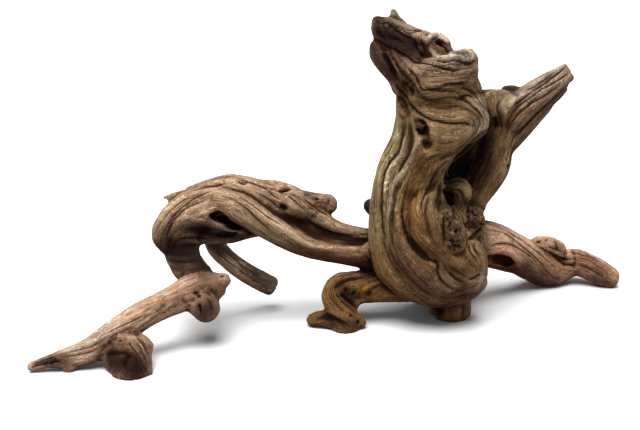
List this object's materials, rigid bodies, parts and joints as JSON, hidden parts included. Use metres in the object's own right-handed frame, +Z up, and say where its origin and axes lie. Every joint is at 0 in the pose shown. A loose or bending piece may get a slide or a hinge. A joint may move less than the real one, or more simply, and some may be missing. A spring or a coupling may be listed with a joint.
{
  "type": "driftwood",
  "caption": "Branched piece of weathered mangrove root wood: a knotted upright trunk with a broken top, a long arched root to one side, and short foot-like roots that let it stand on its own.",
  "frame": {"origin": "on the ground, under the middle of the whole piece's box, where it stands on its own feet", "axes": "+X to the right along the length, away from the long arched root; +Y away from the side the trunk's broken front faces; +Z up"},
  "size_m": [0.5833, 0.2571, 0.308],
  "materials": {
    "weathered_wood": "bare weathered root wood, dry and matt, with raised grain, cracks and dark crumbling knots"
  },
  "bodies": {
    "root": {"driftwood": "weathered_wood"}
  },
  "joints": []
}
